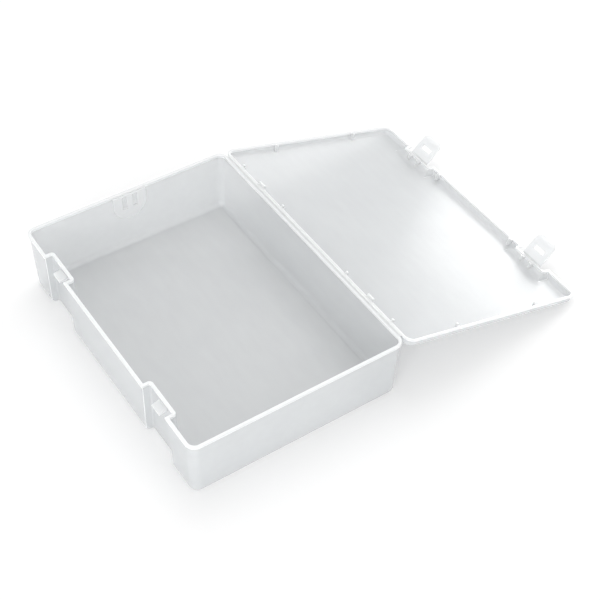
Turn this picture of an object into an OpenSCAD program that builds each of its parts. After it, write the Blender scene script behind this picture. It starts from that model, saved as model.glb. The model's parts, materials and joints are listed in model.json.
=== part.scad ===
// Hinged storage case moulded in translucent polypropylene: a drafted tray, a shallow
// lid on a living hinge along one long side, and two snap latches along the other.
//
// The origin is the middle of the tray's underside. +X points from the latch side to
// the hinge side, +Y along the long side and +Z up. The lid is drawn open, with its
// front edge lying on the surface that the tray stands on. Seen from the latch side,
// +Y is to the left, which is how the left and right pieces are named.
//
// The lid's own pieces are drawn in the lid's frame: x is the distance from the hinge
// axis, and z points out of the open side of the lid. Folded shut, x there turns into
// hinge_x - x on the tray.

/* [Tray] */
// Length of the rim
tray_l = 240; // [190:1:320]
// Width of the rim
tray_w = 171; // [130:1:240]
// Height of the tray
tray_h = 52; // [38:1:90]
// Thickness of the walls
wall_t = 1.4; // [1:0.1:2]
// Thickness of the floor
floor_t = 1.6; // [1:0.1:2.4]
// How far each wall leans in between rim and floor
draft = 1; // [0.4:0.1:2.5]
// Radius of the upright corners at the rim
corner_r = 7.5; // [5:0.5:14]
// Radius of the edge between walls and floor
floor_r = 5; // [2:0.5:8]

/* [Rim] */
// How far the bead along the rim stands out of the wall
bead_w = 1; // [0.6:0.1:1.6]
// Height of the bead along the rim
bead_h = 1.8; // [1.2:0.1:3]

/* [Latch niches] */
// Distance of each latch from the middle of the case
latch_y = 72; // [50:1:80]
// Width of a niche at the rim
niche_w = 30; // [26:1:38]
// Depth of a niche, from the rim's outer edge
niche_d = 6; // [5.5:0.5:8]
// How far each side of a niche opens out between rim and floor
niche_flare = 2.5; // [0.5:0.5:4]

/* [Thumb pad] */
// Width of the raised pad inside the left end wall
pad_w = 28; // [20:1:34]
// Height of the pad, down from the bead
pad_h = 23; // [20:1:28]
// Thickness of the pad
pad_t = 1; // [0.6:0.1:1.6]
// Width of the two slots in the pad
pad_slot_w = 4; // [3:0.5:5]
// Length of the two slots in the pad
pad_slot_l = 12; // [8:1:14]
// Distance between the two slots' middles
pad_slot_gap = 9; // [7:0.5:10]
// Solid strip above the slots
pad_slot_top = 1.2; // [0.8:0.1:2]

/* [Lid] */
// Depth of the lid, from its rim to its outer face
lid_d = 6.5; // [5:0.5:14]
// Thickness of the lid's skirt
lid_wall_t = 1.4; // [1:0.1:1.8]
// Thickness of the lid's panel
lid_panel_t = 1.3; // [1:0.1:2]
// How far the bead along the lid's rim stands out of the skirt
lid_bead_w = 0.8; // [0.5:0.1:1.2]
// Height of the bead along the lid's rim
lid_bead_h = 1.2; // [0.8:0.1:2]
// Radius of the edge between skirt and panel
lid_edge_r = 2.2; // [1:0.1:2.4]
// How far the lid's front edge reaches past the tray's rim
lid_over_front = 1.5; // [0.5:0.1:3]
// How far each end of the lid reaches past the tray's rim
lid_over_end = 0.5; // [0:0.1:1.5]
// Gap between the two rims when the case is shut
seat_gap = 0.3; // [0.2:0.1:0.6]

/* [Living hinge] */
// Distance of the hinge axis from the tray's rim
hinge_reach = 1; // [0.9:0.1:2]
// Radius of the bead that the hinge turns on
hinge_bead_r = 0.5; // [0.4:0.05:0.6]
// Thickness of the two webs beside that bead
web_t = 0.5; // [0.4:0.1:0.8]
// Running gap around the bead
hinge_fit = 0.08; // [0.05:0.01:0.1]
// Space between the two webs below the bead
web_split = 0.3; // [0.25:0.05:0.4]

/* [Latches] */
// Width of a latch tab
tab_w = 20; // [18:1:24]
// Length of the flat of a latch tab, from its hinge axis
tab_l = 16; // [13:0.2:18]
// Thickness of a latch tab
tab_t = 1.4; // [1.2:0.1:1.6]
// Corner radius at the tip of a latch
tab_corner_r = 5; // [3:0.5:6]
// Bending radius of the finger lip
lip_r = 6.5; // [4:0.5:7]
// Angle through which the finger lip bends outwards
lip_bend = 42; // [30:1:60]
// Length of the slot across the tab
slot_l = 11; // [10:0.5:13]
// Height of the slot
slot_h = 3.8; // [3.4:0.1:4.2]
// Distance from the latch's hinge axis to the slot
slot_from = 7.6; // [7:0.1:8.2]
// How far the latch's hinge axis sits inside the tray's rim when the case is shut
tab_set = 3; // [2.6:0.1:3.2]
// How far that axis sits below the lid's rim
tab_sink = 0.6; // [0.4:0.1:1]
// Distance of that axis from the lid's niche
tab_reach = 0.9; // [0.7:0.1:1.2]
// Radius of the bead that the latch turns on
tab_bead_r = 0.4; // [0.3:0.05:0.5]
// Angle between the tab and the lid at rest
tab_lean = 58; // [30:1:90]
// Length of the ramp that leads from the lid's panel to a niche
ramp_l = 8; // [4:0.5:12]
// How far each side of the ramp opens out
ramp_flare = 3; // [0.5:0.5:5]

/* [Catch lugs] */
// Width of a lug
lug_w = 10; // [7:0.5:10]
// How far the lug stands out of the tab that is snapped over it
lug_proud = 0.4; // [0.2:0.1:0.6]
// Height of the lug's nose
lug_nose_h = 1.4; // [1:0.1:1.6]
// How much higher the lug is at the wall than at its nose
lug_ramp_h = 2; // [1:0.1:2.2]
// Play between the lug and the slot's edge
latch_play = 0.5; // [0.35:0.05:0.8]

/* [Locating pips] */
// Thickness of a pip, measured away from the wall
pip_t = 1.6; // [1.2:0.1:2.4]
// Width of a pip along the wall
pip_w = 2; // [1.2:0.1:3]
// How far a pip stands out of the lid's rim
pip_rise = 1.2; // [0.6:0.1:2]
// Gap between a pip and the tray's wall when the case is shut
pip_fit = 0.4; // [0.3:0.05:0.6]
// Chamfer at the top of a pip
pip_chamfer = 0.8; // [0.4:0.1:1]
// Distance of the first pip on each end from the hinge axis
end_pip_x = 50; // [30:1:60]
// Distance between the two pips on each end
end_pip_pitch = 80; // [40:1:100]
// Gap along the front from a latch niche to the middle of the pip beside it
front_pip_gap = 11; // [7:1:37]
// Distance between the two pips behind a latch
niche_pip_pitch = 10; // [6:1:16]
// Distance of the inner hinge ribs from the middle
rib_in = 42; // [20:1:60]
// Distance of the outer hinge ribs from the middle
rib_out = 97; // [75:1:110]
// Distance of the long hinge lugs from the middle
long_lug_y = 71; // [60:1:74]
// Length of a long hinge lug
long_lug_l = 7; // [4:0.5:12]

/* [Hidden] */

milky = [0.86, 0.89, 0.91];
bright = [0.93, 0.95, 0.96];
over = 1;
slice = 0.01;
touch = 0.01;
arc_fn = 96;
hull_fn = 32;

// Tray, from the rim down
shell_in = bead_w + wall_t;
band_z = tray_h - bead_h;
shell_floor_r = min(floor_r, corner_r - bead_w - 0.5);
hollow_floor_r = min(shell_floor_r - wall_t / 2, corner_r - shell_in - 0.4);
niche_x = -tray_w / 2 + niche_d;
wall_lean = atan(draft / (band_z - floor_t - hollow_floor_r));

// Hinge axis, and the lid's outline measured from it
hinge_x = tray_w / 2 + hinge_reach;
hinge_z = tray_h + seat_gap / 2;
hinge_l = tray_l - 2 * corner_r;
rim_z = -seat_gap / 2;
lid_x0 = hinge_reach;
lid_x1 = hinge_x + tray_w / 2 + lid_over_front;
lid_half_l = tray_l / 2 + lid_over_end;
lid_in = lid_bead_w + lid_wall_t;
panel_z = rim_z - lid_d;
pan_floor_z = panel_z + lid_panel_t;

// The lid lies with the round edge under its front skirt on the ground
edge_x = lid_x1 - lid_bead_w - lid_edge_r;
edge_z = panel_z + lid_edge_r;
ground_gap = 0.05;
open_drop = asin((hinge_z - lid_edge_r - ground_gap) / norm([edge_x, edge_z])) - atan2(-edge_z, edge_x);

// Latch axis in the lid's frame, and where the lug meets the slot when shut
tab_x = hinge_x + tray_w / 2 - tab_set;
tab_z = rim_z - tab_sink;
lid_niche_x = tab_x - tab_reach;
shut_tab_z = hinge_z - tab_z;
lug_low = shut_tab_z - slot_from - slot_h + latch_play;
lug_nose_x = -tray_w / 2 + tab_set - tab_t - lug_proud;

// Inner faces of the tray's walls as the shut lid sees them
front_pip_x = hinge_x + tray_w / 2 - shell_in - pip_fit;
front_pip_y = latch_y - niche_w / 2 - front_pip_gap;
niche_pip_x = hinge_x - (niche_x + shell_in) - pip_fit;
hinge_pip_x = hinge_reach + shell_in + pip_fit;
end_pip_y = tray_l / 2 - shell_in - pip_fit;

sides = [-1, 1];

// Plan shapes ---------------------------------------------------------------------

// Rectangle with round corners between two opposite corners
module round_rect(x0, x1, half_l, r) {
    translate([x0 + r, -half_l]) square([x1 - x0 - 2 * r, 2 * half_l]);
    translate([x0, r - half_l]) square([x1 - x0, 2 * (half_l - r)]);
    for (x = [x0 + r, x1 - r], y = [r - half_l, half_l - r])
        translate([x, y]) circle(r, $fn = arc_fn);
}

// Plan of the tray's rim, drawn in by an inset from the bead's outer edge
module tray_outline(inset) {
    difference() {
        round_rect(inset - tray_w / 2, tray_w / 2 - inset, tray_l / 2 - inset, corner_r - inset);
        for (side = sides)
            translate([-tray_w / 2 - over, side * latch_y - niche_w / 2 - inset])
                square([niche_d + inset + over, niche_w + 2 * inset]);
    }
}

// Plan of the lid's rim, drawn in by an inset from the bead's outer edge
module lid_outline(inset) {
    difference() {
        round_rect(lid_x0 + inset, lid_x1 - inset, lid_half_l - inset, corner_r - inset);
        for (side = sides)
            translate([lid_niche_x - inset, side * latch_y - niche_w / 2 - inset])
                square([lid_x1, niche_w + 2 * inset]);
    }
}

// Solid forms ---------------------------------------------------------------------

// Ring whose upper surface is flat and whose lower outer edge is round
module round_foot(r, edge_r) {
    rotate_extrude($fn = hull_fn) intersection() {
        translate([r - edge_r, edge_r]) circle(edge_r, $fn = hull_fn);
        square([r, edge_r]);
    }
}

// Drafted block with a straight band along the rim and a round lower edge
module tray_block(inset, base_z, edge_r, top_z) {
    r = corner_r - inset;
    hull()
        for (sx = sides, sy = sides) {
            translate([sx * (tray_w / 2 - corner_r), sy * (tray_l / 2 - corner_r), band_z])
                cylinder(r = r, h = top_z - band_z, $fn = hull_fn);
            translate([sx * (tray_w / 2 - corner_r - draft), sy * (tray_l / 2 - corner_r - draft), base_z])
                round_foot(r, edge_r);
        }
}

// Space of a latch niche, grown by an inset on its back and sides
module tray_niche(side, inset) {
    half_w = niche_w / 2 + inset;
    reach = niche_d + inset + over;
    translate([-tray_w / 2 - over, side * latch_y, 0]) {
        translate([0, -half_w, band_z]) cube([reach, 2 * half_w, bead_h + over]);
        hull() {
            translate([0, -half_w, band_z - slice]) cube([reach, 2 * half_w, slice]);
            translate([0, -half_w - niche_flare, -over])
                cube([reach + draft, 2 * (half_w + niche_flare), over]);
        }
    }
}

// Block of the lid with a round edge around its panel
module lid_block(inset) {
    r = corner_r - inset;
    hull()
        for (x = [lid_x0 + corner_r, lid_x1 - corner_r], sy = sides)
            translate([x, sy * (lid_half_l - corner_r), panel_z]) {
                round_foot(r, lid_edge_r);
                translate([0, 0, lid_edge_r]) cylinder(r = r, h = lid_d - lid_edge_r, $fn = hull_fn);
            }
}

// Space of a niche in the lid, which runs out as a ramp towards the panel
module lid_niche(side, inset, base_z) {
    half_w = niche_w / 2 + inset;
    back_x = lid_niche_x - inset;
    reach = lid_x1 + over - back_x;
    ramp_z = rim_z - lid_bead_h;
    translate([back_x, side * latch_y, 0]) {
        translate([0, -half_w, ramp_z]) cube([reach, 2 * half_w, lid_bead_h + over]);
        hull() {
            translate([0, -half_w, ramp_z - slice]) cube([reach, 2 * half_w, slice]);
            translate([-ramp_l, -half_w - ramp_flare, base_z - over])
                cube([reach + ramp_l, 2 * (half_w + ramp_flare), over]);
        }
    }
}

// Puts a piece of the lid in its place on the open lid
module on_lid() {
    translate([hinge_x, 0, hinge_z]) rotate([0, open_drop, 0]) children();
}

// Puts a piece of a latch in its place: x runs along the tab, z out of its inner face
module on_latch(side) {
    on_lid() translate([tab_x, side * latch_y, tab_z]) rotate([0, -tab_lean, 0]) children();
}

// Bar along Y with a profile in X and Z
module bar_y(length) {
    translate([0, length / 2, 0]) rotate([90, 0, 0]) linear_extrude(length) children();
}

// Tray ----------------------------------------------------------------------------

// Walls and floor, with the two niches pressed in from outside
module tray_shell() {
    color(milky) difference() {
        tray_block(bead_w, 0, shell_floor_r, tray_h);
        difference() {
            tray_block(shell_in, floor_t, hollow_floor_r, tray_h + over);
            for (side = sides) tray_niche(side, shell_in);
        }
        for (side = sides) tray_niche(side, bead_w);
    }
}

// Bead around the outside of the rim, which also carries the hinge
module tray_rim() {
    color(bright) translate([0, 0, band_z]) linear_extrude(bead_h) difference() {
        tray_outline(0);
        tray_outline(bead_w);
    }
}

// Half-round pad with two slots, raised on the inside of the left end wall
module thumb_pad() {
    pad_r = pad_w / 2;
    color(bright) translate([0, tray_l / 2 - shell_in - touch, band_z]) rotate([90 - wall_lean, 0, 0])
        linear_extrude(pad_t) difference() {
            union() {
                translate([-pad_r, pad_r - pad_h]) square([pad_w, pad_h - pad_r]);
                intersection() {
                    translate([0, pad_r - pad_h]) circle(pad_r, $fn = arc_fn);
                    translate([-pad_r, -pad_h]) square([pad_w, pad_h]);
                }
            }
            for (side = sides)
                translate([(side * pad_slot_gap - pad_slot_w) / 2, -pad_slot_top - pad_slot_l])
                    square([pad_slot_w, pad_slot_l]);
        }
}

// Outer face of a niche's back wall at a height
function niche_face_x(z) = niche_x + bead_w + draft * (band_z - z) / band_z;

// Wedge on a niche's back wall that the latch snaps over
module catch_lug(side) {
    lug_nose_z = lug_low + lug_nose_h;
    lug_top = lug_nose_z + lug_ramp_h;
    color(bright) translate([0, side * latch_y, 0]) bar_y(lug_w) polygon([
        [niche_face_x(lug_low), lug_low],
        [lug_nose_x, lug_low],
        [lug_nose_x, lug_nose_z],
        [niche_face_x(lug_top), lug_top]
    ]);
}

// Thin web out of the tray's bead, with the round bead that the lid turns on
module hinge_web() {
    color(bright) bar_y(hinge_l) union() {
        translate([tray_w / 2, tray_h - web_t]) square([hinge_reach - web_split, web_t]);
        translate([hinge_x, hinge_z]) circle(hinge_bead_r, $fn = hull_fn);
    }
}

// Lid -----------------------------------------------------------------------------

// Panel and skirt, with a ramp down to each latch
module lid_pan() {
    color(milky) on_lid() difference() {
        lid_block(lid_bead_w);
        difference() {
            translate([0, 0, pan_floor_z]) linear_extrude(lid_d)
                round_rect(lid_x0 + lid_in, lid_x1 - lid_in, lid_half_l - lid_in, corner_r - lid_in);
            for (side = sides) lid_niche(side, lid_in, pan_floor_z);
        }
        for (side = sides) lid_niche(side, lid_bead_w, panel_z);
    }
}

// Bead around the outside of the lid's rim
module lid_rim() {
    color(bright) on_lid() translate([0, 0, rim_z - lid_bead_h]) linear_extrude(lid_bead_h)
        difference() {
            lid_outline(0);
            lid_outline(lid_bead_w);
        }
}

// Thin web from the lid's bead to the hinge, hollowed to turn around the hinge's bead
module lid_hinge_land() {
    color(bright) on_lid() bar_y(hinge_l) difference() {
        translate([web_split, rim_z - web_t]) square([lid_x0 - web_split, web_t]);
        circle(hinge_bead_r + hinge_fit, $fn = hull_fn);
    }
}

// Rib beside a wall at x = 0: it stands on the pan and, past the gap, rises over the rim.
// The two feet are the pan's heights at the wall and at the rib's far side.
module pip(gap, width, wall_foot_z, far_foot_z) {
    top = rim_z + pip_rise;
    bar_y(width) polygon([
        [0, wall_foot_z],
        [-gap - pip_t, far_foot_z],
        [-gap - pip_t, top],
        [-gap - pip_chamfer, top],
        [-gap, top - pip_chamfer],
        [-gap, rim_z],
        [0, rim_z]
    ]);
}

// Rib on the pan's flat floor
module floor_pip(gap, width) {
    pip(gap, width, pan_floor_z, pan_floor_z);
}

// Two pips on each end of the lid
module lid_end_pips() {
    wall_y = lid_half_l - lid_in;
    color(bright) on_lid()
        for (x = [end_pip_x, end_pip_x + end_pip_pitch], side = sides)
            translate([x, side * wall_y, 0]) rotate([0, 0, side * 90])
                floor_pip(wall_y - end_pip_y, pip_w);
}

// Two pips along the front, one beside each latch
module lid_front_pips() {
    wall_x = lid_x1 - lid_in;
    color(bright) on_lid()
        for (side = sides)
            translate([wall_x, side * front_pip_y, 0])
                floor_pip(wall_x - front_pip_x, pip_w);
}

// Two pips behind each latch, standing on the ramp
module lid_niche_pips() {
    wall_x = lid_niche_x - lid_in;
    gap = wall_x - niche_pip_x;
    ramp_top = rim_z - lid_bead_h;
    ramp_slope = (ramp_top - pan_floor_z) / ramp_l;
    color(bright) on_lid()
        for (side = sides, step = sides)
            translate([wall_x, side * latch_y + step * niche_pip_pitch / 2, 0])
                pip(gap, pip_w, ramp_top, ramp_top - ramp_slope * (gap + pip_t));
}

// Rib along the hinge side of the lid
module hinge_pip(width) {
    wall_x = lid_x0 + lid_in;
    translate([wall_x, 0, 0]) rotate([0, 0, 180]) floor_pip(hinge_pip_x - wall_x, width);
}

// Four narrow ribs along the hinge
module lid_hinge_ribs() {
    color(bright) on_lid()
        for (y = [rib_in, rib_out], side = sides)
            translate([0, side * y, 0]) hinge_pip(pip_w);
}

// Two long lugs along the hinge
module lid_hinge_lugs() {
    color(bright) on_lid()
        for (side = sides)
            translate([0, side * long_lug_y, 0]) hinge_pip(long_lug_l);
}

// Latches -------------------------------------------------------------------------

// Thin web out of the lid's niche, with the round bead that the latch turns on
module latch_web(side) {
    color(bright) on_lid() translate([0, side * latch_y, 0]) bar_y(tab_w) union() {
        translate([lid_niche_x, tab_z - web_t / 2]) square([tab_reach - web_split, web_t]);
        translate([tab_x, tab_z]) circle(tab_bead_r, $fn = hull_fn);
    }
}

// Plan of a latch with its two round tip corners
module latch_plan() {
    tip_x = tab_l + lip_r * sin(lip_bend);
    translate([web_split, -tab_w / 2]) square([tip_x - tab_corner_r - web_split, tab_w]);
    translate([web_split, tab_corner_r - tab_w / 2])
        square([tip_x - web_split, tab_w - 2 * tab_corner_r]);
    for (side = sides)
        translate([tip_x - tab_corner_r, side * (tab_w / 2 - tab_corner_r)])
            circle(tab_corner_r, $fn = arc_fn);
}

// Flat of the latch, slotted for the lug and hollowed to turn around its bead
module latch_tab(side) {
    color(bright) on_latch(side) difference() {
        translate([0, 0, -tab_t]) linear_extrude(tab_t) difference() {
            intersection() {
                latch_plan();
                translate([0, -tab_w]) square([tab_l, 2 * tab_w]);
            }
            translate([slot_from, -slot_l / 2]) square([slot_h, slot_l]);
        }
        rotate([90, 0, 0])
            cylinder(r = tab_bead_r + hinge_fit, h = tab_w + 2 * over, center = true, $fn = hull_fn);
    }
}

// Finger lip, bent outwards past the end of the flat
module latch_lip(side) {
    reach = 2 * lip_r;
    color(milky) on_latch(side) intersection() {
        translate([0, 0, -reach]) linear_extrude(reach + over) latch_plan();
        translate([tab_l, 0, -lip_r]) bar_y(tab_w + 2 * over) difference() {
            intersection() {
                circle(lip_r, $fn = arc_fn);
                polygon([[0, 0], [0, reach], [reach * sin(lip_bend), reach * cos(lip_bend)]]);
            }
            circle(lip_r - tab_t, $fn = arc_fn);
        }
    }
}

// Left and right pieces ------------------------------------------------------------

module catch_lug_left() catch_lug(1);
module catch_lug_right() catch_lug(-1);
module latch_web_left() latch_web(1);
module latch_web_right() latch_web(-1);
module latch_tab_left() latch_tab(1);
module latch_tab_right() latch_tab(-1);
module latch_lip_left() latch_lip(1);
module latch_lip_right() latch_lip(-1);

// Sub-parts -----------------------------------------------------------------------

tray_shell();
tray_rim();
thumb_pad();
catch_lug_left();
catch_lug_right();
hinge_web();
lid_pan();
lid_rim();
lid_hinge_land();
lid_end_pips();
lid_front_pips();
lid_niche_pips();
lid_hinge_ribs();
lid_hinge_lugs();
latch_web_left();
latch_web_right();
latch_tab_left();
latch_tab_right();
latch_lip_left();
latch_lip_right();
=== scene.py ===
# %% [markdown]
# # A hinged storage case in Blender
#
# The object is a flat case moulded in natural polypropylene: a deep tray, a shallow lid on a
# living hinge along one long side, and two snap latches along the other. The CAD model gives
# every size and the way each piece moves. This lesson adds what CAD can't show: the round
# mouldings, the small radii that catch the light, and the milky see-through plastic that turns
# bright where it is thick.
#
# The first cell loads the CAD model as a frame. Everything is in metres, with the tray's
# underside in the plane z = 0.

# %% Load the frame
import json
import math

import bpy
from mathutils import Matrix, Vector


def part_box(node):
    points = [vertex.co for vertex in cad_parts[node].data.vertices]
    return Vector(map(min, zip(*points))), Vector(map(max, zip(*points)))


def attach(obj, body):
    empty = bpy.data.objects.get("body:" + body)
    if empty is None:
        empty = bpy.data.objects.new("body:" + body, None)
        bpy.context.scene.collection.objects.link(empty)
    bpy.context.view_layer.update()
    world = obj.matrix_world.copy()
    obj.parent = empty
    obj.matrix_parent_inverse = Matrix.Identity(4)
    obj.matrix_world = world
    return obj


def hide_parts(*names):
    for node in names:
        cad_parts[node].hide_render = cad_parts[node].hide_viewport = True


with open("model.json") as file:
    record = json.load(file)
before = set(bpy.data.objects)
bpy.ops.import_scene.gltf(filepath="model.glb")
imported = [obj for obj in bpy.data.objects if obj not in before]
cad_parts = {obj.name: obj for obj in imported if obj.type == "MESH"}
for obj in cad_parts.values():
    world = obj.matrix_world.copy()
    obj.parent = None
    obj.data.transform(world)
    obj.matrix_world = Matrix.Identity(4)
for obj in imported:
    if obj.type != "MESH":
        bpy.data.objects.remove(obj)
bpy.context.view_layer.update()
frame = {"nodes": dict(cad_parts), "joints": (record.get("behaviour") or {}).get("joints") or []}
print("CAD nodes:", sorted(frame["nodes"]))

# %% [markdown]
# ## Sizes
#
# The sizes come from the boxes of the CAD nodes and from the joints, so that the scene follows
# the model if it changes. A few wall thicknesses can't be read from a box, so they are repeated
# here as the maker would write them on a drawing.

# %% Sizes
MM = 0.001
WALL = 1.4 * MM
FLOOR = 1.6 * MM
RIM_BEAD = 1.0 * MM
DRAFT = 1.0 * MM
TRAY_CORNER = 7.5 * MM
FLOOR_EDGE = 5.0 * MM
NICHE_WIDTH = 30 * MM
NICHE_FLARE = 2.5 * MM
LID_WALL = 1.4 * MM
LID_PANEL = 1.3 * MM
LID_BEAD = 0.8 * MM
LID_EDGE = 2.2 * MM
LID_CORNER = 7.5 * MM
RAMP = 8.0 * MM
RAMP_FLARE = 3.0 * MM

joints = {joint["name"]: joint for joint in frame["joints"]}
HINGE = Vector(joints["lid_hinge"]["pos_m"])
LID_DROP = math.radians(joints["lid_hinge"]["range_deg"][1] - 180)
LATCH_AXIS = {"left": Vector(joints["latch_left_hinge"]["pos_m"]),
              "right": Vector(joints["latch_right_hinge"]["pos_m"])}

rim_low, rim_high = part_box("tray_rim")
HALF_WIDTH = (rim_high[0] - rim_low[0]) / 2
HALF_LENGTH = (rim_high[1] - rim_low[1]) / 2
HEIGHT = rim_high[2]
LATCH_Y = LATCH_AXIS["left"].y
print(f"tray {2 * HALF_LENGTH:.3f} x {2 * HALF_WIDTH:.3f} x {HEIGHT:.3f} m,",
      f"lid drops {math.degrees(LID_DROP):.2f} deg")

# %% [markdown]
# ## Shader maths as plain Python
#
# A material in Blender is a tree of nodes. Written out node by node, even a small sum takes six
# lines, so a socket is wrapped in a class whose operators add the Math nodes. A line such as
# `grain * 0.10 + gloss` then reads as it would on paper. Every other node comes from one method,
# `node`. Only the operators that the case's plastic needs are here.

# %% Socket and Finish helpers
MIX_COLOUR_INPUTS = (0, 6, 7)
MIX_COLOUR_OUTPUT = 2


class Value:
    """A socket that can be added and multiplied like a number."""

    def __init__(self, finish, socket):
        self.finish = finish
        self.socket = socket

    def _math(self, operation, other):
        return self.finish.node("ShaderNodeMath", {"operation": operation}, {0: self, 1: other})

    def __add__(self, other):
        return self._math("ADD", other)

    def __mul__(self, other):
        return self._math("MULTIPLY", other)

    __radd__ = __add__
    __rmul__ = __mul__

    def clamp(self):
        return self.finish.node("ShaderNodeClamp", {}, {"Value": self})


class Finish:
    """A node material for one of the case's surfaces."""

    def __init__(self, name):
        self.material = bpy.data.materials.new(name)
        self.material.use_nodes = True
        self.tree = self.material.node_tree
        self.tree.nodes.clear()

    def node(self, kind, settings, inputs, output=0):
        made = self.tree.nodes.new(kind)
        for key, value in settings.items():
            setattr(made, key, value)
        for key, value in inputs.items():
            self.feed(made.inputs[key], value)
        return Value(self, made.outputs[output])

    def feed(self, socket, value):
        if isinstance(value, Value):
            self.tree.links.new(value.socket, socket)
        else:
            socket.default_value = value

    def mix_colour(self, factor, first, second):
        """A colour between two others, by a factor that changes over the surface."""
        made = self.tree.nodes.new("ShaderNodeMix")
        made.data_type = "RGBA"
        for number, value in zip(MIX_COLOUR_INPUTS, (factor, first, second)):
            self.feed(made.inputs[number], value)
        return Value(self, made.outputs[MIX_COLOUR_OUTPUT])

    def place(self, scale=(1, 1, 1)):
        """The point on the piece, in metres, stretched by a scale."""
        at = self.node("ShaderNodeTexCoord", {}, {}, "Object")
        return self.node("ShaderNodeMapping", {}, {"Vector": at, "Scale": scale})

    def noise(self, at, scale, roughness=0.5):
        return self.node("ShaderNodeTexNoise", {},
                         {"Vector": at, "Scale": scale, "Detail": 2.0, "Roughness": roughness})

    def bump(self, height, strength, distance):
        return self.node("ShaderNodeBump", {},
                         {"Height": height, "Strength": strength, "Distance": distance})

    def surface(self, inputs):
        shader = self.node("ShaderNodeBsdfPrincipled", {"subsurface_method": "RANDOM_WALK"},
                           inputs)
        output = self.tree.nodes.new("ShaderNodeOutputMaterial")
        self.tree.links.new(shader.socket, output.inputs["Surface"])
        return self.material


print("helpers ready")

# %% [markdown]
# ## Natural polypropylene
#
# Unpigmented polypropylene is milky: light goes through it, but is scattered on the way. Glass
# with a high roughness would blur what is behind, yet it is slow and noisy, and a wall of it
# lets no lamp light into the tray. Here each wall is partly clear, with alpha, and what isn't
# clear scatters light inside the plastic, with subsurface scattering. Thick places, such as the
# rims and the hinge, scatter more: they are whiter and hide more of what is behind. The same
# whiter finish is put on the small rounds of the edges, where it is painted light that gathers
# in the edges.
#
# The surface is satin, because the mould is finely blasted. Two scales of noise vary how clear
# the plastic is, as flow in the mould does, and a fine bump breaks up the reflections. The thin
# coat adds the sharper sheen that polished parts of the mould leave.

# %% Plastic finishes
WALL_TINT = (0.765, 0.78, 0.79, 1)
WALL_TINT_DEEP = (0.73, 0.75, 0.765, 1)
# The whiter edge tints are partly the thick plastic's own colour and partly painted light: on the
# small rounds of the edges they stand for light gathered there.
EDGE_TINT_AND_PAINTED_LIGHT = (0.90, 0.91, 0.915, 1)
EDGE_TINT_DEEP_AND_PAINTED_LIGHT = (0.86, 0.875, 0.885, 1)
# The grip pad's near-white tints are partly the thick plastic's own colour and partly painted
# light: they stand for light coming through the pad from behind.
PAD_TINT_WITH_PAINTED_BACKLIGHT = (0.97, 0.98, 0.985, 1)
PAD_TINT_DEEP_WITH_PAINTED_BACKLIGHT = (0.94, 0.955, 0.965, 1)
CLOUD_SCALE = 14.0
STREAK_SCALE = 160.0
STREAK_STRETCH = (1, 0.25, 1)
GRAIN_SCALE = 2600.0
GRAIN_HEIGHT = 0.06 * MM


def plastic(name, tint, deep_tint, clear_low, clear_high, gloss, scatter, depth):
    """Milky satin plastic. The clear values are the least and most alpha. Scatter is the share
    of light that goes in, and depth is how far it goes.
    """
    finish = Finish(name)
    at = finish.place()
    clouds = finish.noise(at, CLOUD_SCALE)
    streaks = finish.noise(finish.place(STREAK_STRETCH), STREAK_SCALE)
    grain = finish.noise(at, GRAIN_SCALE, 0.6)
    milk = (clouds * 0.75 + streaks * 0.25).clamp()
    return finish.surface({
        "Base Color": finish.mix_colour(milk, deep_tint, tint),
        "Roughness": grain * 0.10 + streaks * 0.08 + gloss,
        "Alpha": milk * (clear_high - clear_low) + clear_low,
        "Normal": finish.bump(grain, 0.12, GRAIN_HEIGHT),
        "IOR": 1.49,
        "Specular IOR Level": 0.5,
        "Coat Weight": 0.7,
        "Coat Roughness": 0.16,
        "Coat IOR": 1.5,
        "Subsurface Weight": scatter,
        "Subsurface Radius": (1.0, 1.0, 1.0),
        "Subsurface Scale": depth,
        "Subsurface Anisotropy": 0.3,
    })


milky_wall = plastic("milky_wall", WALL_TINT, WALL_TINT_DEEP, clear_low=0.44, clear_high=0.54,
                     gloss=0.28, scatter=0.6, depth=2.5 * MM)
milky_edge_and_painted_light = plastic("milky_edge_and_painted_light", EDGE_TINT_AND_PAINTED_LIGHT, EDGE_TINT_DEEP_AND_PAINTED_LIGHT, clear_low=0.80, clear_high=0.90,
                     gloss=0.24, scatter=0.8, depth=1.5 * MM)
# The pad's finish is whiter than the edges' as painted light coming through it from behind.
milky_pad_with_painted_backlight = plastic("milky_pad_with_painted_backlight", PAD_TINT_WITH_PAINTED_BACKLIGHT, PAD_TINT_DEEP_WITH_PAINTED_BACKLIGHT, clear_low=0.82, clear_high=0.92,
                    gloss=0.26, scatter=0.0, depth=1.0 * MM)
print("finishes:", milky_wall.name, milky_edge_and_painted_light.name, milky_pad_with_painted_backlight.name)

# %% [markdown]
# ## Tools for modelling
#
# Each piece starts as a primitive and is shaped in edit mode, as by hand. A script can't click
# on a face, so faces and edges are picked by where they are and which way they point. The
# helpers below do the picking, the cutting of one solid with another, and the last step of
# every moulding: rounding what is still sharp. On a real moulding no edge is sharp, because the
# mould is milled with a round tool, and the small round is what catches the light.

# %% Picking helpers
NEAR = 0.02 * MM


def edit(piece, kind="VERT"):
    """Opens a piece in edit mode with nothing selected."""
    bpy.ops.object.select_all(action="DESELECT")
    bpy.context.view_layer.objects.active = piece
    piece.select_set(True)
    bpy.ops.object.mode_set(mode="EDIT")
    bpy.ops.mesh.select_mode(type=kind)
    bpy.ops.mesh.select_all(action="DESELECT")


def done():
    bpy.ops.object.mode_set(mode="OBJECT")


def pick_points(piece, test):
    """Selects the points whose place passes the test, and stays in edit mode."""
    edit(piece, "VERT")
    done()
    for point in piece.data.vertices:
        point.select = test(point.co)
    bpy.ops.object.mode_set(mode="EDIT")


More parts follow.
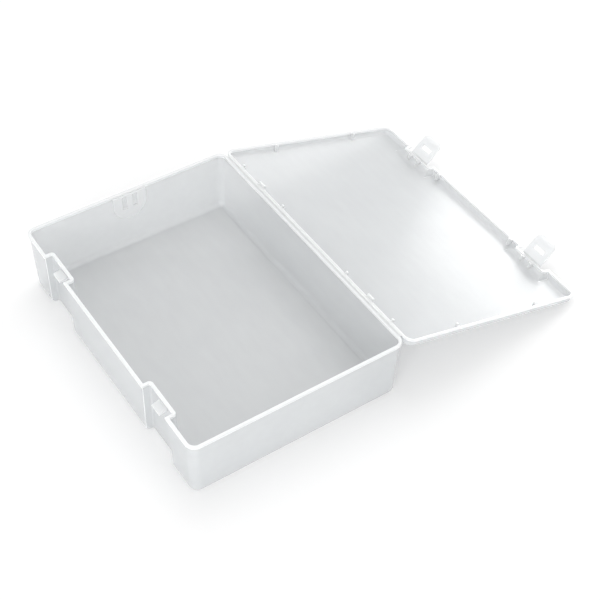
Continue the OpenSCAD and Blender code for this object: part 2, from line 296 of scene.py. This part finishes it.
def pick_edges(piece, test):
    """Selects the edges whose two ends pass the test."""
    edit(piece, "EDGE")
    done()
    points = piece.data.vertices
    for line in piece.data.edges:
        line.select = test(points[line.vertices[0]].co, points[line.vertices[1]].co)
    bpy.ops.object.mode_set(mode="EDIT")


def pick_faces(piece, test):
    """Selects the faces whose middle and normal pass the test."""
    edit(piece, "FACE")
    done()
    for face in piece.data.polygons:
        face.select = test(face.center, face.normal)
    bpy.ops.object.mode_set(mode="EDIT")


print("faces, edges and points can be picked to within", NEAR, "m")


# %% [markdown]
# ## Tools for cutting and rounding
#
# A bevel is clamped by default where it meets another one, which leaves some edges less round
# than others, so clamping is off here. After a boolean cut, points that are almost in one place
# are merged, because a bevel can't walk around a gap. `soften` ends with weighted normals. They
# keep the large flat faces flat in the light, with only the rounds between them shaded smooth.

# %% Shaping helpers
MERGE_WITHIN = 0.004 * MM
SMOOTH_UNDER = math.radians(50)


def box_between(name, low, high):
    """A block between two opposite corners, with its place in its mesh."""
    bpy.ops.object.select_all(action="DESELECT")
    bpy.ops.mesh.primitive_cube_add(size=1)
    piece = bpy.context.object
    piece.name = piece.data.name = name
    piece.location = [(a + b) / 2 for a, b in zip(low, high)]
    piece.scale = [b - a for a, b in zip(low, high)]
    bpy.ops.object.transform_apply(location=True, rotation=False, scale=True)
    return piece


def upright(a, b):
    return abs(a.x - b.x) < NEAR and abs(a.y - b.y) < NEAR


def round_edges(piece, radius, steps, test):
    pick_edges(piece, test)
    bpy.ops.mesh.bevel(offset=radius, offset_type="OFFSET", segments=steps, profile=0.5,
                       affect="EDGES", clamp_overlap=False)
    done()


def combine(piece, tool, operation="DIFFERENCE"):
    """Cuts a piece with a tool, or joins the two, and throws the tool away."""
    bpy.ops.object.select_all(action="DESELECT")
    bpy.context.view_layer.objects.active = piece
    piece.select_set(True)
    change = piece.modifiers.new("combine", "BOOLEAN")
    change.operation = operation
    change.solver = "EXACT"
    change.object = tool
    bpy.ops.object.modifier_apply(modifier=change.name)
    bpy.data.objects.remove(tool)
    edit(piece)
    bpy.ops.mesh.select_all(action="SELECT")
    bpy.ops.mesh.remove_doubles(threshold=MERGE_WITHIN)
    done()


def soften(piece, radius, steps=2, sharper_than=35, paint=-1):
    """Rounds every edge that is still sharp, and smooths the shading. The rounds take the finish
    numbered by paint; a whiter finish there is painted light gathered in the edges.
    """
    bpy.ops.object.select_all(action="DESELECT")
    bpy.context.view_layer.objects.active = piece
    piece.select_set(True)
    change = piece.modifiers.new("soften", "BEVEL")
    change.width = radius
    change.segments = steps
    change.limit_method = "ANGLE"
    change.angle_limit = math.radians(sharper_than)
    change.use_clamp_overlap = False
    change.material = paint
    bpy.ops.object.modifier_apply(modifier=change.name)
    bpy.ops.object.shade_smooth_by_angle(angle=SMOOTH_UNDER)
    flats = piece.modifiers.new("keep_flats_flat", "WEIGHTED_NORMAL")
    flats.keep_sharp = True
    bpy.ops.object.modifier_apply(modifier=flats.name)


def settle(piece, turn, place):
    """Turns a finished piece about the frame's Y axis, moves it, and keeps that in its mesh."""
    bpy.ops.object.select_all(action="DESELECT")
    bpy.context.view_layer.objects.active = piece
    piece.select_set(True)
    piece.rotation_euler = (0, turn, 0)
    piece.location = place
    bpy.ops.object.transform_apply(location=True, rotation=True, scale=True)


def paint(piece, *finishes):
    piece.data.materials.clear()
    for finish in finishes:
        piece.data.materials.append(finish)


def report(piece):
    low = [min(v.co[i] for v in piece.data.vertices) for i in range(3)]
    high = [max(v.co[i] for v in piece.data.vertices) for i in range(3)]
    print(f"{piece.name}: {len(piece.data.polygons)} faces,",
          "low", [round(x / MM, 2) for x in low], "high", [round(x / MM, 2) for x in high], "mm")


print("shaping helpers ready, points closer than", MERGE_WITHIN, "m are merged")

# %% [markdown]
# ## The tray
#
# The tray is a deep box with leaning walls, so that it slips off its mould. It could be a plane
# with its edges extruded, but the niches for the latches would then need many loose edges. It
# is simpler to think as the toolmaker does: one block is the outside of the tray, a second is
# its inside, and what is left between them is the plastic.
#
# `leaning_block` rounds a block's upright corners and its lower edge with Bevel, widens its
# upper end with Resize, and extrudes the straight band that the rim's bead sits on. The lid is
# made of two such blocks as well.

# %% Leaning block
CORNER_STEPS = 10
FLOOR_EDGE_STEPS = 7
BAND = rim_low[2]


def leaning_block(name, low_x, high_x, half_y, levels, corner, edge, lean):
    """A block with round corners. The levels are its bottom, the start of the band and its top."""
    bottom, band, top = levels
    middle_x, half_x = (low_x + high_x) / 2, (high_x - low_x) / 2
    piece = box_between(name, (low_x + lean, lean - half_y, bottom),
                        (high_x - lean, half_y - lean, band))
    round_edges(piece, corner, CORNER_STEPS, upright)
    round_edges(piece, edge[0], edge[1],
                lambda a, b: abs(a.z - bottom) < NEAR and abs(b.z - bottom) < NEAR)
    pick_points(piece, lambda co: co.z > band - NEAR)
    bpy.ops.transform.resize(value=(half_x / (half_x - lean), half_y / (half_y - lean), 1),
                             center_override=(middle_x, 0, band))
    done()
    pick_faces(piece, lambda middle, normal: normal.z > 0.99 and middle.z > band - NEAR)
    bpy.ops.mesh.extrude_region_move(TRANSFORM_OT_translate={"value": (0, 0, top - band)})
    done()
    return piece


def tray_block(name, inset, bottom, top, edge):
    """A block inside the tray's outline by an inset."""
    wide = HALF_WIDTH - inset
    return leaning_block(name, -wide, wide, HALF_LENGTH - inset, (bottom, BAND, top),
                         TRAY_CORNER - inset, (edge, FLOOR_EDGE_STEPS), DRAFT)


print(f"the rim's band starts at {BAND:.4f} m")

# %% [markdown]
# The niches are cut from both blocks. Their tool widens towards the floor, and its back leans
# with the wall, so that the wall behind a niche is as thick as everywhere else.

# %% Niche tool
PAST = 4 * MM
NICHE_DEPTH = 6 * MM
NICHE_BACK = NICHE_DEPTH - HALF_WIDTH


def niche_tool(side, inset, corner):
    """The space of one niche, grown by an inset."""
    half = NICHE_WIDTH / 2 + inset
    back = NICHE_BACK + inset
    middle = side * LATCH_Y
    piece = box_between("niche_tool", (-HALF_WIDTH - PAST, middle - half, -PAST),
                        (back, middle + half, BAND))
    reach = (BAND + PAST) / BAND
    pick_points(piece, lambda co: co.z < 0)
    bpy.ops.transform.resize(value=(1, (half + NICHE_FLARE * reach) / half, 1),
                             center_override=(0, middle, 0))
    done()
    pick_points(piece, lambda co: co.z < 0 and co.x > back - NEAR)
    bpy.ops.transform.translate(value=(DRAFT * reach, 0, 0))
    done()
    pick_faces(piece, lambda centre, normal: normal.z > 0.99)
    bpy.ops.mesh.extrude_region_move(TRANSFORM_OT_translate={"value": (0, 0, PAST)})
    done()
    round_edges(piece, corner, 4,
                lambda a, b: min(a.x, b.x) > -HALF_WIDTH and abs(a.z - b.z) > MM)
    return piece


print(f"a niche's back is at x = {NICHE_BACK:.4f} m")

# %% [markdown]
# The bead around the rim follows the tray's outline through the niches. It is made by pushing
# the faces of the straight band outwards along their normals, before the inside is cut away.

# %% Tray
TRAY_NICHE_CORNER = 1.6 * MM
HOLLOW_NICHE_CORNER = 3.0 * MM

tray = tray_block("tray_moulding", RIM_BEAD, 0, HEIGHT, FLOOR_EDGE)
for side in (1, -1):
    combine(tray, niche_tool(side, RIM_BEAD, TRAY_NICHE_CORNER))
pick_faces(tray, lambda middle, normal: middle.z > BAND + NEAR and abs(normal.z) < 0.02)
bpy.ops.mesh.extrude_region_shrink_fatten(
    TRANSFORM_OT_shrink_fatten={"value": RIM_BEAD, "use_even_offset": True})
done()
hollow = tray_block("hollow", RIM_BEAD + WALL, FLOOR, HEIGHT + PAST, FLOOR_EDGE - WALL / 2)
for side in (1, -1):
    combine(hollow, niche_tool(side, RIM_BEAD + WALL, HOLLOW_NICHE_CORNER))
combine(tray, hollow)
paint(tray, milky_wall, milky_edge_and_painted_light)
for face in tray.data.polygons:
    if face.center.z > BAND - NEAR:
        face.material_index = 1
# The rounds made here take the whiter edge finish, as painted light gathered in the edges.
soften(tray, 0.3 * MM, paint=1)
report(tray)
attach(tray, "tray")
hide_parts("tray_shell", "tray_rim")

# %% [markdown]
# ## Lugs
#
# In each niche a small wedge stands on the wall. The latch rides up its slope and snaps under
# its flat side. The wedge is a block whose upper outer edge is pushed back to the wall.

# %% Lugs
LUG_NOSE = 1.4 * MM
LUG_ROOT = 0.3 * MM


def lug(name, node):
    low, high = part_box(node)
    nose = low[2] + LUG_NOSE
    piece = box_between(name, low, (high[0] + LUG_ROOT, high[1], high[2]))
    pick_faces(piece, lambda middle, normal: normal.x < -0.9)
    done()
    pick_points(piece, lambda co: co.x < low[0] + NEAR and co.z > high[2] - NEAR)
    bpy.ops.transform.translate(value=(0, 0, nose - high[2]))
    done()
    paint(piece, milky_edge_and_painted_light)
    soften(piece, 0.25 * MM, 3, 20)
    report(piece)
    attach(piece, "tray")
    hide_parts(node)


lug("left_lug", "catch_lug_left")
lug("right_lug", "catch_lug_right")

# %% [markdown]
# ## Grip pad
#
# The grip pad is a thin raised tongue inside the left end wall. It begins as a cylinder on its
# side. Bisect keeps its lower half, and the flat cut is extruded up to the rim. Two slots are
# then cut through it.

# %% Grip pad
pad_low, pad_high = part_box("thumb_pad")
PAD_RADIUS = (pad_high[0] - pad_low[0]) / 2
PAD_THICK = 1.0 * MM
SLOT_ACROSS = 4.5 * MM
SLOT_HALF = 2.0 * MM
SLOT_TOP = -1.2 * MM
SLOT_BOTTOM = SLOT_TOP - 12 * MM
PAD_PROUD = 0.02 * MM
WALL_LEAN = math.atan(DRAFT / (BAND - FLOOR - FLOOR_EDGE + WALL / 2))
wall_face = HALF_LENGTH - RIM_BEAD - WALL
round_middle = -(pad_high[2] - pad_low[2]) + PAD_RADIUS

bpy.ops.object.select_all(action="DESELECT")
bpy.ops.mesh.primitive_cylinder_add(vertices=72, radius=PAD_RADIUS, depth=PAD_THICK,
                                    location=(0, -PAD_THICK / 2, round_middle),
                                    rotation=(math.radians(90), 0, 0))
pad = bpy.context.object
pad.name = pad.data.name = "grip_pad"
bpy.ops.object.transform_apply(location=True, rotation=True, scale=True)
edit(pad, "FACE")
bpy.ops.mesh.select_all(action="SELECT")
bpy.ops.mesh.bisect(plane_co=(0, 0, round_middle), plane_no=(0, 0, 1), use_fill=True,
                    clear_outer=True)
done()
pick_faces(pad, lambda middle, normal: normal.z > 0.9 and middle.z > round_middle - NEAR)
bpy.ops.mesh.extrude_region_move(TRANSFORM_OT_translate={"value": (0, 0, -round_middle)})
done()
for middle in (-SLOT_ACROSS, SLOT_ACROSS):
    slot_box = box_between("slot_tool", (middle - SLOT_HALF, -PAST, SLOT_BOTTOM),
                           (middle + SLOT_HALF, PAST, SLOT_TOP))
    round_edges(slot_box, 0.8 * MM, 3,
                lambda a, b: abs(a.x - b.x) < NEAR and abs(a.z - b.z) < NEAR)
    combine(pad, slot_box)
soften(pad, 0.3 * MM, 3, 40)
bpy.ops.object.select_all(action="DESELECT")
pad.select_set(True)
pad.location = (0, wall_face + PAD_PROUD, BAND)
pad.rotation_euler = (-WALL_LEAN, 0, 0)
bpy.ops.object.transform_apply(location=True, rotation=True, scale=True)
paint(pad, milky_pad_with_painted_backlight)
report(pad)
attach(pad, "tray")
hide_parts("thumb_pad")

# %% [markdown]
# ## The lid
#
# The lid is made flat, in its own frame: x runs from the hinge axis to the front edge and the
# open side is up. Only when it is finished is it turned by the angle at which it lies open, and
# moved to the hinge. Working in the piece's own frame keeps every selection simple.
#
# The latch's lean is read from the joint: at its upper limit the latch is square to the lid.

# %% Lid sizes
LID_OVER_FRONT = 1.5 * MM
LATCH_SET = 3 * MM
LATCH_REACH = 0.9 * MM
LID_START = HINGE.x - HALF_WIDTH
LID_END = HINGE.x + HALF_WIDTH + LID_OVER_FRONT
lid_rim_low, lid_rim_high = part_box("lid_rim")
LID_HALF = (lid_rim_high[1] - lid_rim_low[1]) / 2
RIM_Z = -0.15 * MM
LID_DEPTH = 6.5 * MM
LID_BAND = 1.2 * MM
PANEL_Z = RIM_Z - LID_DEPTH
PAN_FLOOR = PANEL_Z + LID_PANEL
LATCH_X = HINGE.x + HALF_WIDTH - LATCH_SET
LID_NICHE = LATCH_X - LATCH_REACH
TAB_LEAN = math.radians(90 - joints["latch_left_hinge"]["range_deg"][1])
LID_LEAN = 0.15 * MM
PAN_EDGE = 2.4 * MM
EDGE_STEPS = 5
print(f"lid {LID_END - LID_START:.4f} x {2 * LID_HALF:.4f} m, latch axis at {LATCH_X:.4f} m")

# %% [markdown]
# ## The lid's blocks and ramps
#
# It is moulded like the tray: an outer block, two ramps that lead down to the latches, a bead
# pushed out around the rim, and an inner block taken away. A ramp's tool is a box whose lower end
# is widened, and whose lower back edge is moved away from the latch.

# %% Lid block and ramp tool
def lid_block(name, inset, bottom, top, edge):
    return leaning_block(name, LID_START + inset, LID_END - inset, LID_HALF - inset,
                         (bottom, RIM_Z - LID_BAND, top), LID_CORNER - inset, edge, LID_LEAN)


def ramp_tool(side, inset, floor, corner):
    """The space of a niche in the lid, which runs out as a ramp towards the panel."""
    half = NICHE_WIDTH / 2 + inset
    middle = side * LATCH_Y
    back = LID_NICHE - inset
    kink = RIM_Z - LID_BAND
    reach = (kink - floor + MM) / (kink - floor)
    piece = box_between("ramp_tool", (back, middle - half, floor - MM),
                        (LID_END + PAST, middle + half, kink))
    pick_points(piece, lambda co: co.z < kink - NEAR)
    bpy.ops.transform.resize(value=(1, (half + RAMP_FLARE * reach) / half, 1),
                             center_override=(0, middle, 0))
    done()
    pick_points(piece, lambda co: co.z < kink - NEAR and co.x < back + NEAR)
    bpy.ops.transform.translate(value=(-RAMP * reach, 0, 0))
    done()
    pick_faces(piece, lambda centre, normal: normal.z > 0.99)
    bpy.ops.mesh.extrude_region_move(TRANSFORM_OT_translate={"value": (0, 0, PAST)})
    done()
    round_edges(piece, corner, 4,
                lambda a, b: max(a.x, b.x) < LID_END and abs(a.z - b.z) > 0.5 * MM)
    return piece


print(f"a ramp runs {RAMP:.4f} m back from the latch and flares {RAMP_FLARE:.4f} m")

# %% [markdown]
# The bead is again pushed out from the straight band. The inner block's lower edge has a larger
# round than a plain offset would give, because plastic flows badly round a tight corner.

# %% Lid
LID_RAMP_CORNER = 1.2 * MM
HOLLOW_RAMP_CORNER = 2.4 * MM

lid = lid_block("lid_moulding", LID_BEAD, PANEL_Z, RIM_Z, (LID_EDGE, EDGE_STEPS))
for side in (1, -1):
    combine(lid, ramp_tool(side, LID_BEAD, PANEL_Z, LID_RAMP_CORNER))
pick_faces(lid, lambda middle, normal: (middle.z > RIM_Z - LID_BAND + NEAR
                                        and abs(normal.z) < 0.02))
bpy.ops.mesh.extrude_region_shrink_fatten(
    TRANSFORM_OT_shrink_fatten={"value": LID_BEAD, "use_even_offset": True})
done()
lid_hollow = lid_block("lid_hollow", LID_BEAD + LID_WALL, PAN_FLOOR, RIM_Z + PAST,
                       (PAN_EDGE, EDGE_STEPS))
for side in (1, -1):
    combine(lid_hollow, ramp_tool(side, LID_BEAD + LID_WALL, PAN_FLOOR, HOLLOW_RAMP_CORNER))
combine(lid, lid_hollow)
paint(lid, milky_wall, milky_edge_and_painted_light)
for face in lid.data.polygons:
    if face.center.z > RIM_Z - LID_BAND - NEAR:
        face.material_index = 1
# The rounds made here take the whiter edge finish, as painted light gathered in the edges.
soften(lid, 0.25 * MM, paint=1)
settle(lid, LID_DROP, HINGE)
report(lid)
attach(lid, "lid")
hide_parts("lid_pan", "lid_rim")

# %% [markdown]
# ## Pips and ribs
#
# Small pips inside the lid's wall drop just inside the tray's rim when the lid shuts, and hold
# it square. A pip is a block on the lid's panel. Bisect marks where the tray's rim will come, the
# top is extruded past that mark, and its edge on the rim's side is rounded as a lead-in. The foot
# reaches half a millimetre into the panel, so that no gap shows.

# %% Pip
PIP_RISE = 1.2 * MM
PIP_THICK = 1.6 * MM
PIP_WIDTH = 2.0 * MM
PIP_ROOT = 0.5 * MM
PIP_SHOULDER = 0.1 * MM
PIP_PLAY = 0.4 * MM
TRAY_GAP = RIM_BEAD + WALL + PIP_PLAY


def rib(name, gap, width, wall_foot, far_foot):
    """A rib beside a wall at x = 0. Past the gap it rises over the rim."""
    top = RIM_Z + PIP_RISE
    deep = -gap - PIP_THICK
    slope = (wall_foot - far_foot) / -deep
    piece = box_between(name, (deep, -width / 2, PAN_FLOOR - PIP_ROOT),
                        (PIP_ROOT, width / 2, RIM_Z - PIP_SHOULDER))
    edit(piece, "FACE")
    bpy.ops.mesh.select_all(action="SELECT")
    bpy.ops.mesh.bisect(plane_co=(-gap, 0, 0), plane_no=(1, 0, 0))
    done()
    for point in piece.data.vertices:
        if point.co.z < PAN_FLOOR:
            point.co.z = wall_foot + slope * min(point.co.x, 0) - PIP_ROOT
    pick_faces(piece, lambda middle, normal: normal.z > 0.99 and middle.x < -gap)
    bpy.ops.mesh.extrude_region_move(
        TRANSFORM_OT_translate={"value": (0, 0, top - RIM_Z + PIP_SHOULDER)})
    done()
    round_edges(piece, 0.7 * MM, 3,
                lambda a, b: min(a.x, b.x) > -gap - NEAR and min(a.z, b.z) > top - NEAR)
    soften(piece, 0.2 * MM, 2, 40)
    return piece


print(f"a pip stands {PIP_RISE:.4f} m out of the lid's rim")

# %% [markdown]
# A pip is modelled once and copied, each copy with its own mesh. It is turned to face away from
# its wall, and the copies of one kind are joined to one piece.

# %% Copies on the lid
def spread(pattern, name, places, nodes):
    """Copies a pattern to each (x, y, turn) on the lid and joins the copies to one piece."""
    copies = []
    for x, y, turn in places:
        copy = pattern.copy()
        copy.data = pattern.data.copy()
        bpy.context.scene.collection.objects.link(copy)
        bpy.ops.object.select_all(action="DESELECT")
        copy.select_set(True)
        bpy.context.view_layer.objects.active = copy
        copy.rotation_euler = (0, 0, math.radians(turn))
        copy.location = (x, y, 0)
        bpy.ops.object.transform_apply(location=True, rotation=True, scale=True)
        copies.append(copy)
    bpy.data.objects.remove(pattern)
    bpy.ops.object.select_all(action="DESELECT")
    for copy in copies:
        copy.select_set(True)
    bpy.context.view_layer.objects.active = copies[0]
    bpy.ops.object.join()
    piece = bpy.context.object
    piece.name = piece.data.name = name
    settle(piece, LID_DROP, HINGE)
    paint(piece, milky_edge_and_painted_light)
    report(piece)
    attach(piece, "lid")
    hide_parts(*nodes)


print("pips can be spread along the lid's walls")

# %% [markdown]
# Each kind stands on its own wall: the two ends, the front beside the latches, the niches behind
# the latches and the hinge side. The gap of a kind is the space between its wall and the tray's
# wall when the lid is shut. Behind a latch the pip stands on the ramp, so its foot slopes.

# %% Pips and ribs in place
END_PIP_X = (50 * MM, 130 * MM)
FRONT_PIP_Y = 46 * MM
NICHE_PIP_STEP = 5 * MM
HINGE_RIB_Y = (42 * MM, 97 * MM)
HINGE_LUG_Y = 71 * MM
HINGE_LUG_WIDTH = 7 * MM

inner_end = LID_HALF - LID_BEAD - LID_WALL
inner_front = LID_END - LID_BEAD - LID_WALL
inner_back = LID_START + LID_BEAD + LID_WALL
end_gap = inner_end - (HALF_LENGTH - TRAY_GAP)
front_gap = inner_front - (HINGE.x + HALF_WIDTH - TRAY_GAP)
back_gap = (HINGE.x - HALF_WIDTH + TRAY_GAP) - inner_back
niche_wall = LID_NICHE - LID_BEAD - LID_WALL
niche_gap = niche_wall - (HINGE.x - NICHE_BACK - TRAY_GAP)
ramp_top = RIM_Z - LID_BAND
ramp_slope = (ramp_top - PAN_FLOOR) / RAMP

spread(rib("pip", end_gap, PIP_WIDTH, PAN_FLOOR, PAN_FLOOR), "end_pips",
       [(x, side * inner_end, side * 90) for x in END_PIP_X for side in (1, -1)],
       ["lid_end_pips"])
spread(rib("pip", front_gap, PIP_WIDTH, PAN_FLOOR, PAN_FLOOR), "front_pips",
       [(inner_front, side * FRONT_PIP_Y, 0) for side in (1, -1)],
       ["lid_front_pips"])
spread(rib("pip", niche_gap, PIP_WIDTH, ramp_top,
           ramp_top - ramp_slope * (niche_gap + PIP_THICK)), "niche_pips",
       [(niche_wall, side * LATCH_Y + step, 0)
        for side in (1, -1) for step in (NICHE_PIP_STEP, -NICHE_PIP_STEP)],
       ["lid_niche_pips"])
spread(rib("pip", back_gap, PIP_WIDTH, PAN_FLOOR, PAN_FLOOR), "hinge_ribs",
       [(inner_back, side * y, 180) for y in HINGE_RIB_Y for side in (1, -1)],
       ["lid_hinge_ribs"])
spread(rib("pip", back_gap, HINGE_LUG_WIDTH, PAN_FLOOR, PAN_FLOOR), "hinge_lugs",
       [(inner_back, side * HINGE_LUG_Y, 180) for side in (1, -1)],
       ["lid_hinge_lugs"])

# %% [markdown]
# ## Latches
#
# A latch is a tab with a slot, and a finger lip that curves outwards at its tip. It could be
# spun, but then the round corners would have to be cut through many narrow faces. It is cleaner
# to shape and soften it as a flat plate and to bend it last, as a strip is bent over a former:
# Bisect cuts eight lines across the lip, and everything past each line is turned a little.

# %% Lip bend
TAB_WIDTH = 20 * MM
TAB_LENGTH = 16 * MM
TAB_THICK = 1.4 * MM
TAB_CORNER = 5 * MM
LIP_RADIUS = 6.5 * MM
LIP_BEND = math.radians(42)
LIP_STEPS = 8
SLOT_FROM = 7.6 * MM
SLOT_TO = 11.4 * MM
SLOT_WIDTH = 11 * MM
TAB_START = 0.3 * MM
BEAD_HOLLOW = 0.48 * MM


def bend_lip(piece):
    """Bends the plate past the tab's length, from its tip back to its start."""
    middle = -TAB_THICK / 2
    step = (LIP_RADIUS + middle) * LIP_BEND / LIP_STEPS
    for number in reversed(range(LIP_STEPS)):
        at = TAB_LENGTH + number * step
        edit(piece, "FACE")
        bpy.ops.mesh.select_all(action="SELECT")
        bpy.ops.mesh.bisect(plane_co=(at, 0, 0), plane_no=(1, 0, 0))
        done()
        pick_points(piece, lambda co: co.x > at + NEAR / 4)
        bpy.ops.transform.rotate(value=-LIP_BEND / LIP_STEPS, orient_axis="Y",
                                 center_override=(at, 0, middle))
        done()
    bpy.ops.object.shade_smooth_by_angle(angle=SMOOTH_UNDER)


print(f"the lip bends {math.degrees(LIP_BEND):.0f} deg in {LIP_STEPS} steps")

# %% [markdown]
# The latch is also made in its own frame, with x along the tab from its hinge. A groove along its
# near edge leaves room for the hinge's bead. The finished latch is turned by the lid's angle less
# its own lean, and moved to its hinge.

# %% Latches
def latch(name, side, nodes):
    flat_end = TAB_LENGTH + (LIP_RADIUS - TAB_THICK / 2) * LIP_BEND
    piece = box_between(name, (TAB_START, -TAB_WIDTH / 2, -TAB_THICK),
                        (flat_end, TAB_WIDTH / 2, 0))
    round_edges(piece, TAB_CORNER, 10, lambda a, b: upright(a, b) and a.x > TAB_LENGTH)
    window = box_between("window", (SLOT_FROM, -SLOT_WIDTH / 2, -PAST),
                         (SLOT_TO, SLOT_WIDTH / 2, PAST))
    round_edges(window, 0.7 * MM, 4, upright)
    combine(piece, window)
    bpy.ops.object.select_all(action="DESELECT")
    bpy.ops.mesh.primitive_cylinder_add(vertices=32, radius=BEAD_HOLLOW, depth=2 * TAB_WIDTH,
                                        rotation=(math.radians(90), 0, 0))
    groove = bpy.context.object
    bpy.ops.object.transform_apply(location=True, rotation=True, scale=True)
    combine(piece, groove)
    soften(piece, 0.22 * MM, 3, 40)
    bend_lip(piece)
    paint(piece, milky_edge_and_painted_light)
    settle(piece, LID_DROP - TAB_LEAN, LATCH_AXIS[side])
    report(piece)
    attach(piece, f"latch_{side}")
    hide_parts(*nodes)


latch("left_latch", "left", ["latch_tab_left", "latch_lip_left"])
latch("right_latch", "right", ["latch_tab_right", "latch_lip_right"])

# %% [markdown]
# ## Hinges
#
# The CAD model's hinge webs already have their true shape: a thin web that ends in a round
# bead, and a hollow that turns around it. They stay, and only get their finish.

# %% Hinge finish
for name in ("hinge_web", "lid_hinge_land", "latch_web_left", "latch_web_right"):
    paint(frame["nodes"][name], milky_edge_and_painted_light)
print("hinge webs painted")

# %% [markdown]
# ## Camera
#
# The case is seen from above its latch side, a little to the right of the near end, with a
# long lens from about a metre away. Two directions set its turn: to the right in the picture, and
# ahead into it. The first is made square to the second, and up follows from both.

# %% Camera
CAMERA_AT = Vector((-0.31473, -0.55458, 0.70509))
CAMERA_RIGHT = Vector((0.8300, -0.5571, 0.0264))
CAMERA_AHEAD = Vector((0.4004, 0.5622, -0.7236))
LENS_MM = 77.0
SENSOR_MM = 36.0

ahead = CAMERA_AHEAD.normalized()
right = (CAMERA_RIGHT - CAMERA_RIGHT.dot(ahead) * ahead).normalized()
up = right.cross(ahead)
lens = bpy.data.cameras.new("camera")
lens.lens = LENS_MM
lens.sensor_width = SENSOR_MM
lens.clip_start = 0.01
camera = bpy.data.objects.new("camera", lens)
bpy.context.scene.collection.objects.link(camera)
turn = Matrix((right, up, -ahead)).transposed()
camera.matrix_world = Matrix.Translation(CAMERA_AT) @ turn.to_4x4()
bpy.context.scene.camera = camera
print("camera", [round(x, 3) for x in camera.location], "lens", lens.lens)

# %% [markdown]
# ## Floor and light
#
# A milky object shows best on a bright, even ground with broad lamps. One large lamp above and
# behind gives the walls their light from within, and a second from the camera's left lifts the
# outside of the walls. A third, low behind the lid's front edge, is mirrored in the satin lid
# and gives its near corner a white sheen. The world adds the fill of a white studio.

# %% Floor and lamps
FLOOR_SIZE = 8
FILL = 0.77

paper = Finish("paper_floor")
paper_material = paper.surface({"Base Color": (0.97, 0.97, 0.97, 1), "Roughness": 0.9,
                                "Specular IOR Level": 0.1})
bpy.ops.object.select_all(action="DESELECT")
bpy.ops.mesh.primitive_plane_add(size=FLOOR_SIZE)
floor = bpy.context.object
floor.name = "floor"
floor.data.materials.append(paper_material)


def lamp(name, place, aim, width, height, watts):
    light = bpy.data.lights.new(name, "AREA")
    light.shape = "RECTANGLE"
    light.size = width
    light.size_y = height
    light.energy = watts
    made = bpy.data.objects.new(name, light)
    bpy.context.scene.collection.objects.link(made)
    made.location = place
    made.rotation_euler = (Vector(aim) - Vector(place)).to_track_quat("-Z", "Y").to_euler()
    print(name, watts, "W")


lamp("top_lamp", (0.35, 0.55, 1.4), (0.06, 0, 0), 1.1, 1.1, 5)
lamp("side_lamp", (-0.95, -0.95, 0.55), (0, 0, 0.02), 0.8, 0.8, 7)
lamp("back_lamp", (1.16, 0.34, 0.22), (0.2, -0.04, 0.02), 0.55, 0.4, 4.6)

world = bpy.data.worlds.new("studio")
bpy.context.scene.world = world
world.use_nodes = True
background = world.node_tree.nodes["Background"]
background.inputs["Color"].default_value = (1, 1, 1, 1)
background.inputs["Strength"].default_value = FILL
bpy.context.scene.view_settings.view_transform = "Standard"
